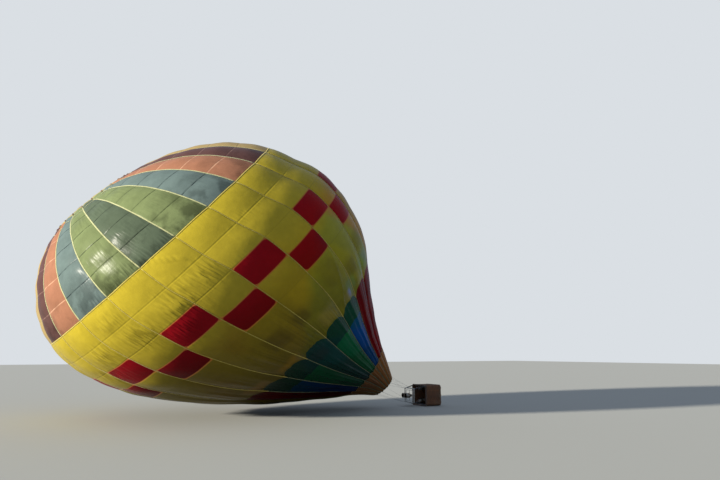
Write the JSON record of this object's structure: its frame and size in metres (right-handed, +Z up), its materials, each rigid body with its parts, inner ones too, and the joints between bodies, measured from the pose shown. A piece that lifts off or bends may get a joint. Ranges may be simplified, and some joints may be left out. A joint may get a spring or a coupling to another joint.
{
  "type": "hot air balloon",
  "caption": "Leaning hot air balloon with a gored envelope, parachute vent, skirt, flying wires, gimballed burners and a wicker basket on its side.",
  "frame": {"origin": "point of lift in the middle of the envelope, 7.2 m above the ground that the basket lies on", "axes": "+X from the crown towards the basket, +Z up, +Y across the balloon"},
  "size_m": [23.0444, 16.3755, 14.6816],
  "materials": {
    "cloth_brown": "coated ripstop nylon",
    "cloth_salmon": "coated ripstop nylon",
    "cloth_slate": "coated ripstop nylon",
    "cloth_green": "coated ripstop nylon",
    "cloth_dark_green": "coated ripstop nylon",
    "cloth_yellow": "coated ripstop nylon",
    "skirt_cloth": "matt fireproof cloth",
    "bright_steel": "satin",
    "dark_steel": "satin",
    "wicker": "woven cane",
    "floor_wood": "varnished",
    "suede": "suede",
    "tank_aluminium": "brushed",
    "cover_cloth": "padded cover",
    "wire": "stranded wire"
  },
  "bodies": {
    "balloon": {"gore_01": "cloth_brown", "gore_02": "cloth_salmon", "gore_03": "cloth_slate", "gore_04": "cloth_green", "gore_05": "cloth_dark_green", "gore_06": "cloth_green", "gore_07": "cloth_slate", "gore_08": "cloth_salmon", "gore_09": "cloth_brown", "gore_10": "cloth_yellow", "gore_11": "cloth_yellow", "gore_12": "cloth_yellow", "gore_13": "cloth_brown", "gore_14": "cloth_salmon", "gore_15": "cloth_slate", "gore_16": "cloth_green", "gore_17": "cloth_dark_green", "gore_18": "cloth_green", "gore_19": "cloth_slate", "gore_20": "cloth_salmon", "gore_21": "cloth_brown", "gore_22": "cloth_yellow", "gore_23": "cloth_yellow", "gore_24": "cloth_yellow", "mouth_skirt": "skirt_cloth", "crown_ring": "bright_steel", "basket_walls": "wicker", "basket_floor": "floor_wood", "basket_rim": "suede", "runner_1": "floor_wood", "runner_2": "floor_wood", "runner_3": "floor_wood", "fuel_tank_1": "tank_aluminium", "fuel_tank_2": "tank_aluminium", "fuel_tank_3": "tank_aluminium", "fuel_tank_4": "tank_aluminium", "upright_1": "cover_cloth", "upright_2": "cover_cloth", "upright_3": "cover_cloth", "upright_4": "cover_cloth", "burner_frame": "bright_steel", "flying_wires_1": "wire", "flying_wires_2": "wire", "flying_wires_3": "wire", "flying_wires_4": "wire"},
    "vent": {"vent_panel": "cloth_yellow"},
    "gimbal_ring": {"gimbal": "bright_steel"},
    "burners": {"burner_block": "dark_steel", "burner_can_1": "bright_steel", "burner_can_2": "bright_steel", "burner_coil_1": "bright_steel", "burner_coil_2": "bright_steel"}
  },
  "joints": [
    {"name": "vent_slide", "type": "slide", "parent": "balloon", "child": "vent", "axis": [0.7009, 0, -0.7133], "range_m": [0, 1.5]},
    {"name": "gimbal_pitch", "type": "hinge", "parent": "balloon", "child": "gimbal_ring", "pos_m": [11.725, 0, -6.55], "axis": [0, 1, 0], "range_deg": [-20, 20]},
    {"name": "burner_roll", "type": "hinge", "parent": "gimbal_ring", "child": "burners", "pos_m": [11.725, 0, -6.55], "axis": [0, 0, 1], "range_deg": [-20, 20]}
  ]
}
